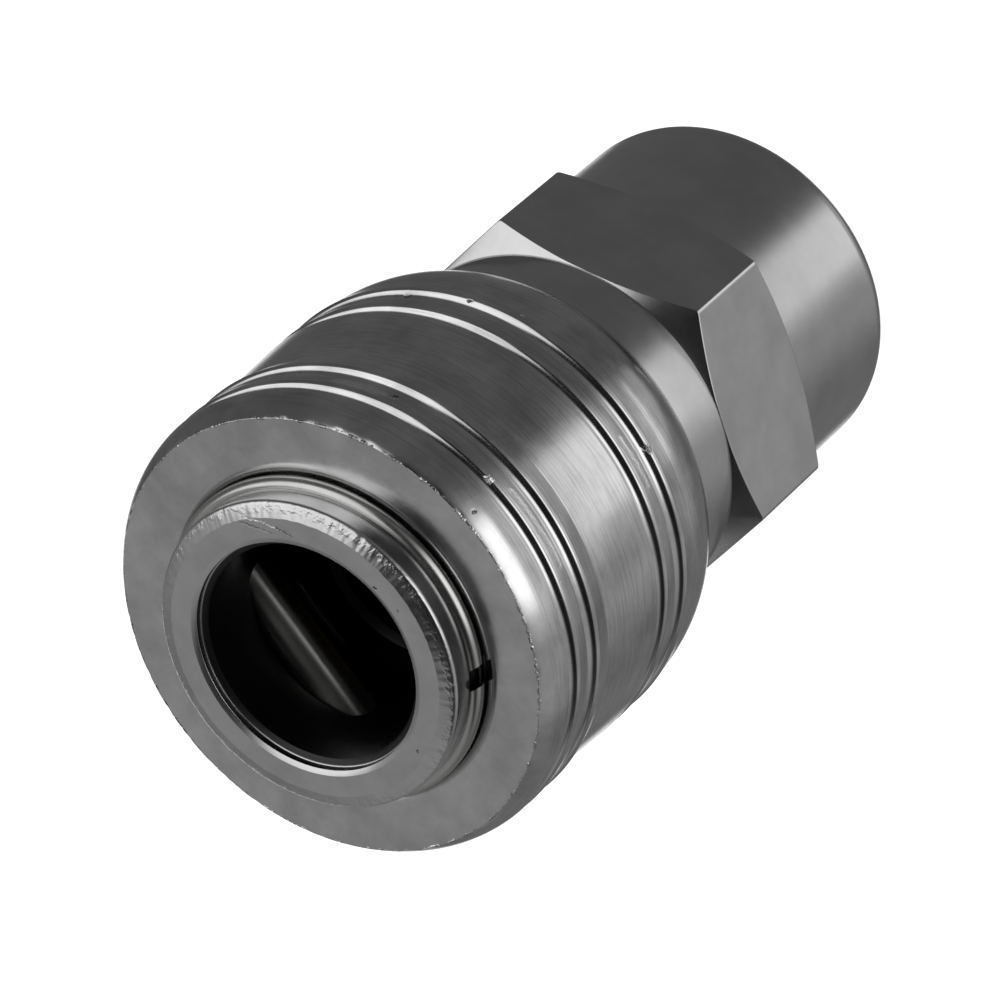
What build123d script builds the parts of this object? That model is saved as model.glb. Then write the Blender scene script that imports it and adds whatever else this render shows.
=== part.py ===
from build123d import *
import math
import os

# Female quick coupling for compressed air or coolant, nominal bore 7.2 mm.
# It stands on its threaded end, with the nose that takes the plug pointing up.
# All sizes are millimetres, and levels are measured up from the threaded end.
os.makedirs("parts", exist_ok=True)

# Driving sizes: adapter, the piece with the hexagon
across_flats = 21.0
hex_length = 8.3
hex_chamfer = 30.0
collar_diameter = 20.0
collar_length = 10.1
collar_rim_rise = 0.38
collar_rim_run = 1.1
neck_diameter = 20.9
neck_length = 8.45
thread_minor_diameter = 14.95
thread_major_diameter = 16.9
thread_depth = 12.2
flow_bore_diameter = 12.6
flow_bore_length = 1.8
adapter_lead_in = 0.3

# Driving sizes: nose body, the tube that takes the plug
nose_diameter = 17.46
nose_chamfer_width = 0.83
nose_chamfer_length = 0.31
socket_diameter = 12.2
socket_depth = 10.9
socket_relief = 0.2
mouth_bevel_diameter = 13.5
mouth_edge_diameter = 12.92
mouth_bevel_depth = 0.12
mouth_chamfer_depth = 0.33
web_thickness = 1.2
tip_bore_diameter = 10.4
tip_lead_in = 0.4
housing_diameter = 14.0

# Driving sizes: locking pins and the slanted slots that guide them
pin_count = 2
pin_diameter = 2.5
pin_length = 12.8
pin_chamfer = 0.25
pin_depth = 6.0
pin_bite = 2.04
pin_azimuth = 83.0
unlock_travel = 3.0

# Driving sizes: sleeve
sleeve_diameter = 26.12
sleeve_length = 18.8
sleeve_crown_length = 2.1
sleeve_crown_drop = 0.76
sleeve_recess_diameter = 19.5
sleeve_recess_depth = 0.5
nose_proud = 2.3
groove_width = 1.1
groove_depth = 0.44
groove_spacing = 2.0
front_grooves_start = 2.27
rear_grooves_start = 11.26
waist_start = 4.87
waist_step_length = 1.18
waist_drop = 0.26
waist_end = 10.85
shoulder_start = 13.87
shoulder_drop = 0.16
dome_start = 14.74
dome_drop = 1.4
tail_round = 0.45
tail_lead_in = 0.35

# Driving sizes: snap ring, thrust ring and springs
snap_wire = 1.0
snap_ring_diameter = 17.6
snap_ring_depth = 2.1
snap_gap_width = 1.3
snap_gap_azimuth = 224.5
snap_gap_skew = 32.0
thrust_ring_thickness = 1.4
sleeve_spring_wire = 1.1
sleeve_spring_diameter = 19.3
sleeve_spring_turns = 3.5
valve_spring_wire = 0.7
valve_spring_diameter = 5.8
valve_spring_turns = 4.5
valve_spring_length = 7.5

# Driving sizes: valve, its seat and the seals
valve_head_diameter = 12.6
valve_head_thickness = 1.6
valve_head_round = 0.3
crown_diameter = 9.1
crown_bore_diameter = 6.6
crown_height = 5.7
crown_slot_width = 2.4
crown_slot_floor = 0.9
stem_diameter = 3.5
stem_length = 10.2
valve_ring_section = 1.8
seat_ring_thickness = 1.35
seat_ring_bore = 10.2
packing_height = 3.35
packing_lip_diameter = 9.7
packing_mouth_diameter = 10.6
packing_groove_width = 0.7
packing_groove_depth = 1.5
packing_wall = 0.55
gasket_thickness = 1.0
gasket_bore = 13.2
guide_thickness = 1.2
guide_hole_diameter = 2.9
guide_hole_circle = 9.8
guide_hole_count = 6

# Clearances, radial or axial
running_clearance = 0.05
seated_clearance = 0.02
seal_gap = 0.1
groove_clearance = 0.1
pin_groove_reserve = 0.25

# Levels that follow from the sizes above
hex_base = collar_length
hex_top = hex_base + hex_length
neck_top = hex_top + neck_length
gasket_seat = thread_depth + flow_bore_length
guide_base = gasket_seat + gasket_thickness
body_base = guide_base + guide_thickness
valve_base = body_base + valve_spring_length
valve_top = valve_base + valve_head_thickness
seat_base = valve_top + valve_ring_section + seal_gap
packing_base = seat_base + seat_ring_thickness + seated_clearance
packing_top = packing_base + packing_height
web_base = packing_top + seated_clearance
socket_floor = web_base + web_thickness
nose_face = socket_floor + socket_depth
sleeve_face = nose_face - nose_proud
sleeve_tail = sleeve_face - sleeve_length
snap_ring_level = nose_face - snap_ring_depth
pin_level = nose_face - pin_depth

# Radii that follow from the sizes above
nose_radius = nose_diameter / 2
housing_radius = housing_diameter / 2
socket_radius = socket_diameter / 2
neck_radius = neck_diameter / 2
collar_radius = collar_diameter / 2
sleeve_radius = sleeve_diameter / 2
land_radius = nose_radius + running_clearance
sleeve_bore_radius = neck_radius + running_clearance
hex_corner_radius = across_flats / math.sqrt(3)

# The pins slide outward and back along one slant: their inner sides clear the socket
# when the sleeve has gone back by its unlocking travel
pin_radius = pin_diameter / 2
pin_offset = socket_radius - pin_bite + pin_radius
pin_outward = pin_bite + seated_clearance
pin_reach = math.hypot(pin_offset + pin_radius + pin_outward, pin_length / 2)
pin_groove_radius = pin_reach + pin_groove_reserve
slot_angle = math.degrees(math.atan2(pin_outward, unlock_travel))
slot_width = pin_diameter + 2 * running_clearance
land_base = pin_level + pin_radius + groove_clearance
guide_bore_base = pin_level + slot_width / 2 + groove_clearance
thrust_top = pin_level - pin_radius - running_clearance
thrust_base = thrust_top - thrust_ring_thickness
pin_groove_base = thrust_top - groove_clearance


def crown_points(radius, level, run, drop):
    """Middle and end of an arc that leaves a cylinder tangentially and falls inward."""
    arc = (run**2 + drop**2) / (2 * drop)
    half_angle = math.asin(abs(run) / arc) / 2
    middle = (
        radius - arc + arc * math.cos(half_angle),
        level + math.copysign(arc * math.sin(half_angle), run),
    )
    return middle, (radius - drop, level + run)


def pin_plane(azimuth):
    """Plane across one locking pin, its x along the slot and its normal along the pin."""
    outward = Vector(math.cos(math.radians(azimuth)), math.sin(math.radians(azimuth)), 0)
    slant = math.radians(slot_angle)
    along_slot = outward * math.sin(slant) - Vector(0, 0, 1) * math.cos(slant)
    along_pin = Vector(0, 0, 1).cross(outward)
    centre = outward * pin_offset + Vector(0, 0, pin_level)
    return Plane(origin=centre, x_dir=along_slot, z_dir=along_pin)


pin_planes = [pin_plane(pin_azimuth + i * 360 / pin_count) for i in range(pin_count)]


# Adapter: hexagon with both ends chamfered, neck, collar and the female thread's bore
hex_slope = math.tan(math.radians(hex_chamfer))
hex_front_fall = (hex_corner_radius - across_flats / 2) * hex_slope
hex_rear_rise = (hex_corner_radius - collar_radius) * hex_slope
rim_middle, rim_end = crown_points(collar_radius, collar_rim_run, -collar_rim_run, collar_rim_rise)
thread_radius = thread_minor_diameter / 2
thread_chamfer = (thread_major_diameter - thread_minor_diameter) / 2
flow_radius = flow_bore_diameter / 2
adapter_bore_radius = nose_radius + seated_clearance
with BuildPart() as adapter:
    with BuildSketch(Plane.XY.offset(hex_base)):
        RegularPolygon(across_flats / 2, 6, major_radius=False, rotation=30)
    extrude(amount=hex_length)
    with BuildSketch(Plane.XZ):
        with BuildLine():
            Polyline(
                (0, hex_base),
                (collar_radius, hex_base),
                (hex_corner_radius, hex_base + hex_rear_rise),
                (hex_corner_radius, hex_top - hex_front_fall),
                (across_flats / 2, hex_top),
                (0, hex_top),
                close=True,
            )
        make_face()
    revolve(axis=Axis.Z, mode=Mode.INTERSECT)
    with BuildSketch(Plane.XZ):
        with BuildLine():
            ThreePointArc((collar_radius, collar_rim_run), rim_middle, rim_end)
            Polyline(
                rim_end,
                (0, 0),
                (0, neck_top),
                (neck_radius, neck_top),
                (neck_radius, hex_top),
                (collar_radius, hex_top),
                (collar_radius, collar_rim_run),
            )
        make_face()
    revolve(axis=Axis.Z)
    with BuildSketch(Plane.XZ):
        with BuildLine():
            Polyline(
                (0, 0),
                (thread_radius + thread_chamfer, 0),
                (thread_radius, thread_chamfer),
                (thread_radius, thread_depth),
                (flow_radius, thread_depth),
                (flow_radius, gasket_seat),
                (adapter_bore_radius, gasket_seat),
                (adapter_bore_radius, neck_top - adapter_lead_in),
                (adapter_bore_radius + adapter_lead_in, neck_top),
                (0, neck_top),
                close=True,
            )
        make_face()
    revolve(axis=Axis.Z, mode=Mode.SUBTRACT)
adapter.part.label = "adapter"
export_step(adapter.part, "parts/adapter.step")


# Nose body: a turned tube with a groove for the snap ring and slanted slots for the pins.
# Below its guide the socket is relieved, so that the slots' burrs stand clear of the plug.
mouth_edge = nose_face - mouth_bevel_depth
with BuildPart() as nose_body:
    with BuildSketch(Plane.XZ):
        with BuildLine():
            Polyline(
                (housing_radius, body_base),
                (nose_radius, body_base),
                (nose_radius, nose_face - nose_chamfer_length),
                (nose_radius - nose_chamfer_width, nose_face),
                (mouth_bevel_diameter / 2, nose_face),
                (mouth_edge_diameter / 2, mouth_edge),
                (socket_radius, mouth_edge - mouth_chamfer_depth),
                (socket_radius, guide_bore_base),
                (socket_radius + socket_relief, guide_bore_base - socket_relief),
                (socket_radius + socket_relief, socket_floor),
                (tip_bore_diameter / 2 + tip_lead_in, socket_floor),
                (tip_bore_diameter / 2, socket_floor - tip_lead_in),
                (tip_bore_diameter / 2, web_base),
                (housing_radius, web_base),
                close=True,
            )
        make_face()
    revolve(axis=Axis.Z)
    with BuildSketch(Plane.XZ):
        with Locations((snap_ring_diameter / 2, snap_ring_level)):
            Circle(snap_wire / 2 + seated_clearance)
    revolve(axis=Axis.Z, mode=Mode.SUBTRACT)
    for plane in pin_planes:
        with BuildSketch(plane):
            SlotCenterPoint((nose_radius / 2, 0), (nose_radius, 0), slot_width)
        extrude(amount=nose_diameter, both=True, mode=Mode.SUBTRACT)
nose_body.part.label = "nose_body"
export_step(nose_body.part, "parts/nose_body.step")


# Locking pins: straight rollers that lie across the socket in their slots
for number, plane in enumerate(pin_planes, start=1):
    with BuildPart(plane) as locking_pin:
        Cylinder(pin_radius, pin_length)
        chamfer(locking_pin.edges().filter_by(GeomType.CIRCLE), pin_chamfer)
    locking_pin.part.label = f"locking_pin_{number}"
    export_step(locking_pin.part, f"parts/locking_pin_{number}.step")


# Sleeve: knob-like turned shell with two pairs of grip grooves, a waist and a domed tail
shoulder_radius = sleeve_radius - shoulder_drop
tail_wall = shoulder_radius - dome_drop - sleeve_bore_radius - tail_lead_in
tail_fillet = min(tail_round, tail_wall / 2)
dome_run = sleeve_length - dome_start
front_middle, front_end = crown_points(
    sleeve_radius,
    sleeve_face - sleeve_crown_length,
    sleeve_crown_length,
    sleeve_crown_drop,
)
dome_middle, dome_end = crown_points(shoulder_radius, sleeve_face - dome_start, -dome_run, dome_drop)
waist_radius = sleeve_radius - waist_drop
groove_radius = (groove_width**2 / 4 + groove_depth**2) / (2 * groove_depth)
groove_centre = sleeve_radius - groove_depth + groove_radius
groove_levels = [
    sleeve_face - start - i * groove_spacing
    for start in (front_grooves_start, rear_grooves_start)
    for i in range(2)
]
with BuildPart() as sleeve:
    with BuildSketch(Plane.XZ) as sleeve_profile:
        with BuildLine():
            ThreePointArc(front_end, front_middle, (sleeve_radius, sleeve_face - sleeve_crown_length))
            Polyline(
                (sleeve_radius, sleeve_face - sleeve_crown_length),
                (sleeve_radius, sleeve_face - waist_start),
                (waist_radius, sleeve_face - waist_start - waist_step_length),
                (sleeve_radius, sleeve_face - waist_end),
                (sleeve_radius, sleeve_face - shoulder_start),
                (shoulder_radius, sleeve_face - dome_start),
            )
            ThreePointArc((shoulder_radius, sleeve_face - dome_start), dome_middle, dome_end)
            Polyline(
                dome_end,
                (sleeve_bore_radius + tail_lead_in, sleeve_tail),
                (sleeve_bore_radius, sleeve_tail + tail_lead_in),
                (sleeve_bore_radius, pin_groove_base),
                (pin_groove_radius, pin_groove_base),
                (pin_groove_radius, land_base),
                (land_radius, land_base),
                (land_radius, sleeve_face - sleeve_recess_depth),
                (sleeve_recess_diameter / 2, sleeve_face),
                front_end,
            )
        make_face()
        tail_edge = sleeve_profile.vertices().group_by(Axis.Y)[0].sort_by(Axis.X)[-1]
        fillet(tail_edge, tail_fillet)
    revolve(axis=Axis.Z)
    with BuildSketch(Plane.XZ):
        with Locations(*[(groove_centre, level) for level in groove_levels]):
            Circle(groove_radius)
    revolve(axis=Axis.Z, mode=Mode.SUBTRACT)
sleeve.part.label = "sleeve"
export_step(sleeve.part, "parts/sleeve.step")


# Snap ring: round wire bent to a circle, its ends cut askew
snap_gap_plane = Plane.XY.offset(snap_ring_level).rotated((0, 0, snap_gap_azimuth))
with BuildPart() as snap_ring:
    with BuildSketch(Plane.XZ):
        with Locations((snap_ring_diameter / 2, snap_ring_level)):
            Circle(snap_wire / 2)
    revolve(axis=Axis.Z)
    with BuildSketch(snap_gap_plane):
        with Locations((snap_ring_diameter / 2, 0)):
            Rectangle(snap_wire * 3, snap_gap_width, rotation=snap_gap_skew)
    extrude(amount=snap_wire, both=True, mode=Mode.SUBTRACT)
snap_ring.part.label = "snap_ring"
export_step(snap_ring.part, "parts/snap_ring.step")


# Thrust ring: carries the sleeve spring's push to the ends of the pins
with BuildPart() as thrust_ring:
    with BuildSketch(Plane.XY.offset(thrust_base)):
        Circle(neck_radius)
        Circle(land_radius, mode=Mode.SUBTRACT)
    extrude(amount=thrust_ring_thickness)
thrust_ring.part.label = "thrust_ring"
export_step(thrust_ring.part, "parts/thrust_ring.step")


# Springs: round wire on a helix between two seats
def wound_spring(name, wire, diameter, turns, base, top):
    """Builds one compression spring that stands on base and reaches up to top."""
    height = top - base - wire - 2 * seated_clearance
    start = base + wire / 2 + seated_clearance
    with BuildPart() as spring:
        with BuildLine():
            coil = Helix(height / turns, height, diameter / 2, center=(0, 0, start))
        with BuildSketch(Plane(origin=coil @ 0, z_dir=coil % 0)):
            Circle(wire / 2)
        sweep(path=coil, is_frenet=True)
    spring.part.label = name
    export_step(spring.part, f"parts/{name}.step")


wound_spring(
    "sleeve_spring",
    sleeve_spring_wire,
    sleeve_spring_diameter,
    sleeve_spring_turns,
    neck_top,
    thrust_base,
)
wound_spring(
    "valve_spring",
    valve_spring_wire,
    valve_spring_diameter,
    valve_spring_turns,
    body_base,
    valve_base,
)


# Packing: moulded rubber ring whose lip grips the plug's tip
packing_radius = housing_radius - seated_clearance
packing_lip_level = packing_base + packing_height / 2
with BuildPart() as packing:
    with BuildSketch(Plane.XZ):
        with BuildLine():
            Polyline(
                (packing_mouth_diameter / 2, packing_base),
                (packing_radius - packing_wall - packing_groove_width, packing_base),
                (packing_radius - packing_wall - packing_groove_width, packing_base + packing_groove_depth),
                (packing_radius - packing_wall, packing_base + packing_groove_depth),
                (packing_radius - packing_wall, packing_base),
                (packing_radius, packing_base),
                (packing_radius, packing_top),
                (packing_mouth_diameter / 2, packing_top),
                (packing_lip_diameter / 2, packing_lip_level),
                close=True,
            )
        make_face()
    revolve(axis=Axis.Z)
packing.part.label = "packing"
export_step(packing.part, "parts/packing.step")


# Seat ring: holds the packing in its housing and gives the valve a flat seat
with BuildPart() as seat_ring:
    with BuildSketch(Plane.XY.offset(seat_base)):
        Circle(housing_radius - seated_clearance)
        Circle(seat_ring_bore / 2, mode=Mode.SUBTRACT)
    extrude(amount=seat_ring_thickness)
seat_ring.part.label = "seat_ring"
export_step(seat_ring.part, "parts/seat_ring.step")


# Valve: head with a guide stem below and a slotted crown above, which the plug pushes
with BuildPart() as valve:
    with BuildSketch(Plane.XY.offset(valve_base)):
        Circle(valve_head_diameter / 2)
    extrude(amount=valve_head_thickness)
    fillet(valve.edges().group_by(Axis.Z)[0], valve_head_round)
    with BuildSketch(Plane.XY.offset(valve_base)):
        Circle(stem_diameter / 2)
    extrude(amount=-stem_length)
    with BuildSketch(Plane.XY.offset(valve_top)):
        Circle(crown_diameter / 2)
        Circle(crown_bore_diameter / 2, mode=Mode.SUBTRACT)
    extrude(amount=crown_height)
    with BuildSketch(Plane.XY.offset(valve_top + crown_slot_floor)):
        Rectangle(2 * crown_diameter, crown_slot_width)
        Rectangle(crown_slot_width, 2 * crown_diameter)
    extrude(amount=crown_height, mode=Mode.SUBTRACT)
valve.part.label = "valve"
export_step(valve.part, "parts/valve.step")


# Valve ring: rubber ring round the crown's foot, which closes on the seat
valve_ring_radius = (crown_diameter + valve_ring_section) / 2 + seated_clearance
with BuildPart() as valve_ring:
    with BuildSketch(Plane.XZ):
        with Locations((valve_ring_radius, valve_top + valve_ring_section / 2 + seated_clearance)):
            Circle(valve_ring_section / 2)
    revolve(axis=Axis.Z)
valve_ring.part.label = "valve_ring"
export_step(valve_ring.part, "parts/valve_ring.step")


# Valve guide: drilled disc, clamped under the nose body, that carries stem and spring
with BuildPart() as valve_guide:
    with BuildSketch(Plane.XY.offset(guide_base)):
        Circle(nose_radius)
        Circle(stem_diameter / 2 + running_clearance, mode=Mode.SUBTRACT)
        with PolarLocations(guide_hole_circle / 2, guide_hole_count):
            Circle(guide_hole_diameter / 2, mode=Mode.SUBTRACT)
    extrude(amount=guide_thickness)
valve_guide.part.label = "valve_guide"
export_step(valve_guide.part, "parts/valve_guide.step")


# Gasket: flat ring that seals the screwed joint below the guide
with BuildPart() as gasket:
    with BuildSketch(Plane.XY.offset(gasket_seat)):
        Circle(nose_radius)
        Circle(gasket_bore / 2, mode=Mode.SUBTRACT)
    extrude(amount=gasket_thickness)
gasket.part.label = "gasket"
export_step(gasket.part, "parts/gasket.step")
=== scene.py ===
"""Looks of a female quick coupling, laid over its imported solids.

Sizes are millimetres in the part's own frame: Z runs up the axis from the threaded end to the
nose, and a corner of the hexagon points along -Y. Meshes are made in metres.
"""

import logging
import math
from collections.abc import Callable, Sequence
from dataclasses import dataclass, field
from enum import Enum
from typing import Any

import bmesh
import bpy
from mathutils import Matrix, Vector, noise

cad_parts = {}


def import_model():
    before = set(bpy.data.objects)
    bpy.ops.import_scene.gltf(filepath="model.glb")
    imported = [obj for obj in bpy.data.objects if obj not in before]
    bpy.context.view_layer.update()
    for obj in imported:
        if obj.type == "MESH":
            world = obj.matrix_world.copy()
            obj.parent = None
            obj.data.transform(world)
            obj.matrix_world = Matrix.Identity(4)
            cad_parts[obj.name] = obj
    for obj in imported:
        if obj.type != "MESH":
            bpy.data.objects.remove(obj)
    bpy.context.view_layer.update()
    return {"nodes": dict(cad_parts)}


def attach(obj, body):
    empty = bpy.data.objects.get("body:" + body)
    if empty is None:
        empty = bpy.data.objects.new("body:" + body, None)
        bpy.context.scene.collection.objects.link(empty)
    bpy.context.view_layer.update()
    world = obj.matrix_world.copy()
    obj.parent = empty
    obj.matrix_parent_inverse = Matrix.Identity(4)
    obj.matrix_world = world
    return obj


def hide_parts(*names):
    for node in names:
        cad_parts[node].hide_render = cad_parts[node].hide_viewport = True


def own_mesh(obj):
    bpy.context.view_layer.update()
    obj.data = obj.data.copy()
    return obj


log = logging.getLogger("quick_coupling")

MM = 0.001
Point = tuple[float, float]


def linear(code: str) -> tuple[float, float, float, float]:
    """Turns an sRGB hex colour into the linear colour that shaders take.

    Args:
        code: six hex digits with a leading hash.

    Returns:
        Linear red, green and blue with an alpha of 1.
    """
    parts = [int(code[i : i + 2], 16) / 255 for i in (1, 3, 5)]
    red, green, blue = (c / 12.92 if c <= 0.04045 else ((c + 0.055) / 1.055) ** 2.4 for c in parts)
    return red, green, blue, 1.0


def add_node(tree: bpy.types.NodeTree, kind: str, inputs: dict[Any, Any] | None = None, **settings: Any) -> bpy.types.Node:
    """Adds one node with its settings, and sets or links its inputs.

    Args:
        tree: the node tree that gets the node.
        kind: Blender's name for the node's type.
        inputs: socket name or index to a value, or to the output socket to link from.
        **settings: attributes of the node itself.

    Returns:
        The new node.
    """
    node = tree.nodes.new(kind)
    for key, value in settings.items():
        setattr(node, key, value)
    for key, value in (inputs or {}).items():
        if isinstance(value, bpy.types.NodeSocket):
            tree.links.new(value, node.inputs[key])
        else:
            node.inputs[key].default_value = value
    return node


# ---- finishes


class Lay(Enum):
    """How a surface was made, which sets the run of its fine marks."""

    TURNED = "rings round the axis"
    GROUND = "no direction"
    MOULDED = "grainy"


@dataclass(frozen=True)
class Mark:
    """One nick, scratch or worn patch: a stroke between two places on the surface."""

    start: tuple[float, float, float]
    end: tuple[float, float, float]
    width: float
    depth: float
    shade: float

    @staticmethod
    def place(spot: tuple[float, float, float]) -> Vector:
        """Turns azimuth in degrees, radius and level into a point in millimetres."""
        azimuth, radius, level = spot
        return Vector((radius * math.cos(math.radians(azimuth)), radius * math.sin(math.radians(azimuth)), level))

    def cover(self, tree: bpy.types.NodeTree, point: bpy.types.NodeSocket) -> bpy.types.NodeSocket:
        """Returns 1 in the middle of the stroke, falling to 0 at its edge.

        Args:
            tree: the material's node tree.
            point: the point in millimetres.

        Returns:
            How much of the mark is at the point.
        """
        start = self.place(self.start)
        along = self.place(self.end) - start
        offset = add_node(tree, "ShaderNodeVectorMath", {0: point, 1: start}, operation="SUBTRACT").outputs[0]
        reach = add_node(tree, "ShaderNodeVectorMath", {0: offset, 1: along}, operation="DOT_PRODUCT").outputs["Value"]
        share = add_node(
            tree, "ShaderNodeMath", {0: reach, 1: 1 / max(along.length_squared, 1e-6)}, operation="MULTIPLY", use_clamp=True
        ).outputs[0]
        nearest = add_node(tree, "ShaderNodeVectorMath", {0: along, "Scale": share}, operation="SCALE").outputs[0]
        gap = add_node(tree, "ShaderNodeVectorMath", {0: offset, 1: nearest}, operation="DISTANCE").outputs["Value"]
        return add_node(
            tree,
            "ShaderNodeMapRange",
            {"Value": gap, "From Min": 0.0, "From Max": self.width, "To Min": 1.0, "To Max": 0.0},
            interpolation_type="SMOOTHSTEP",
        ).outputs[0]


@dataclass(frozen=True)
class Finish:
    """One finish, as the maker would call it, with what the eye gets from it."""

    name: str
    colour: str
    metallic: float
    roughness: float
    lay: Lay
    mark_pitch: float = 0.12
    mark_depth: float = 0.002
    smudge: float = 0.05
    pit_share: float = 0.0
    streaks: float = 0.0
    streaks_from: float = 0.0
    mottle: float = 0.0
    # Radii below which the nose's bore, and near seat_level the snap ring's groove, get painted shade
    shaded_bore_radius: float = 0.0
    shaded_seat_radius: float = 0.0
    seat_level: float = 42.0
    rim: tuple[float, float, float] | None = None
    rim_depth: float = 0.05
    wear: tuple[Mark, ...] = ()

    def position(self, tree: bpy.types.NodeTree) -> bpy.types.NodeSocket:
        """Returns the surface point in millimetres of the part's own frame."""
        place = add_node(tree, "ShaderNodeTexCoord")
        scaled = add_node(tree, "ShaderNodeVectorMath", {0: place.outputs["Object"], "Scale": 1 / MM}, operation="SCALE")
        return scaled.outputs[0]

    def turned(self, tree: bpy.types.NodeTree, point: bpy.types.NodeSocket) -> tuple[bpy.types.NodeSocket, ...]:
        """Splits a point into radius, level and angle round the axis.

        Args:
            tree: the material's node tree.
            point: the point in millimetres.

        Returns:
            Sockets for radius and level in millimetres and for the angle in radians.
        """
        parts = add_node(tree, "ShaderNodeSeparateXYZ", {0: point})
        x, y, level = parts.outputs
        flat = add_node(tree, "ShaderNodeCombineXYZ", {"X": x, "Y": y})
        radius = add_node(tree, "ShaderNodeVectorMath", {0: flat.outputs[0]}, operation="LENGTH").outputs["Value"]
        angle = add_node(tree, "ShaderNodeMath", {0: y, 1: x}, operation="ARCTAN2").outputs[0]
        return radius, level, angle

    def marks(self, tree: bpy.types.NodeTree, point: bpy.types.NodeSocket) -> bpy.types.NodeSocket:
        """Returns the height of the fine marks that the making left, from 0 to 1."""
        if self.lay is Lay.TURNED:
            radius, level, angle = self.turned(tree, point)
            around = add_node(tree, "ShaderNodeMath", {0: angle, 1: 5.0}, operation="MULTIPLY")
            across = add_node(tree, "ShaderNodeCombineXYZ", {"X": radius, "Y": level})
            tight = add_node(
                tree,
                "ShaderNodeVectorMath",
                {0: across.outputs[0], "Scale": 1 / self.mark_pitch},
                operation="SCALE",
            )
            split = add_node(tree, "ShaderNodeSeparateXYZ", {0: tight.outputs[0]})
            vector = add_node(
                tree, "ShaderNodeCombineXYZ", {"X": split.outputs[0], "Y": split.outputs[1], "Z": around.outputs[0]}
            ).outputs[0]
            scale = 1.0
        else:
            vector = point
            scale = 1 / self.mark_pitch
        noise = add_node(
            tree, "ShaderNodeTexNoise", {"Vector": vector, "Scale": scale, "Detail": 3.0, "Roughness": 0.6}
        )
        return noise.outputs["Fac"]

    def material(self) -> bpy.types.Material:
        """Builds the procedural material.

        Returns:
            A material of this finish's name.
        """
        mat = bpy.data.materials.new(self.name)
        mat.use_nodes = True
        tree = mat.node_tree
        tree.nodes.clear()
        point = self.position(tree)
        height = self.marks(tree, point)
        cloud = add_node(
            tree, "ShaderNodeTexNoise", {"Vector": point, "Scale": 0.35, "Detail": 4.0, "Roughness": 0.6}
        ).outputs["Fac"]
        rough = self.spread(tree, cloud, (0.3, 0.7), (self.roughness - self.smudge, self.roughness + self.smudge))
        bright = self.spread(tree, cloud, (0.35, 0.65), (1.0 - self.mottle, 1.0 + self.mottle))
        radius, level, _ = self.turned(tree, point)
        if self.streaks:
            outside = self.spread(tree, radius, (self.streaks_from, self.streaks_from + 0.1), (0.0, self.streaks))
            streak = self.times(tree, outside, self.spread(tree, height, (0.35, 0.55), (1.0, 0.0)))
            kept = add_node(tree, "ShaderNodeMath", {0: 1.0, 1: streak}, operation="SUBTRACT").outputs[0]
            bright = self.times(tree, bright, kept)
        bump = add_node(
            tree, "ShaderNodeBump", {"Height": height, "Strength": 1.0, "Distance": self.mark_depth * MM}
        )
        normal = self.extra_bump(tree, point, bump.outputs["Normal"])
        if self.rim:
            normal = self.knocked_rim(tree, point, radius, level, normal)
        if self.wear:
            bright, normal = self.worn(tree, point, bright, normal)
        # Painted shade: the bore and the ring groove are darkened to 7 percent of their brightness, and roughened
        if self.shaded_bore_radius:
            seat = add_node(
                tree, "ShaderNodeMath", {0: level, 1: self.seat_level, 2: 0.8}, operation="COMPARE"
            ).outputs[0]
            further = self.spread(tree, seat, (0.0, 1.0), (self.shaded_bore_radius, max(self.shaded_seat_radius, self.shaded_bore_radius)))
            inside = add_node(tree, "ShaderNodeMath", {0: further, 1: radius}, operation="SUBTRACT").outputs[0]
            bright = self.times(tree, bright, self.spread(tree, inside, (0.0, 0.06), (1.0, 0.07)))
            rough = add_node(
                tree, "ShaderNodeMath", {0: rough, 1: self.spread(tree, inside, (0.0, 0.06), (0.0, 0.14))}, operation="ADD"
            ).outputs[0]
        colour = add_node(
            tree, "ShaderNodeVectorMath", {0: linear(self.colour)[:3], "Scale": bright}, operation="SCALE"
        )
        shader = add_node(
            tree,
            "ShaderNodeBsdfPrincipled",
            {"Base Color": colour.outputs[0], "Metallic": self.metallic, "Roughness": rough, "Normal": normal},
        )
        add_node(tree, "ShaderNodeOutputMaterial", {"Surface": shader.outputs["BSDF"]})
        return mat

    def spread(
        self, tree: bpy.types.NodeTree, value: bpy.types.NodeSocket, taken: Point, given: Point
    ) -> bpy.types.NodeSocket:
        """Maps a value from the range taken to the range given, held at both ends."""
        return add_node(
            tree,
            "ShaderNodeMapRange",
            {"Value": value, "From Min": taken[0], "From Max": taken[1], "To Min": given[0], "To Max": given[1]},
        ).outputs[0]

    def times(
        self, tree: bpy.types.NodeTree, first: bpy.types.NodeSocket, second: bpy.types.NodeSocket
    ) -> bpy.types.NodeSocket:
        """Multiplies two values."""
        return add_node(tree, "ShaderNodeMath", {0: first, 1: second}, operation="MULTIPLY").outputs[0]

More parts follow.
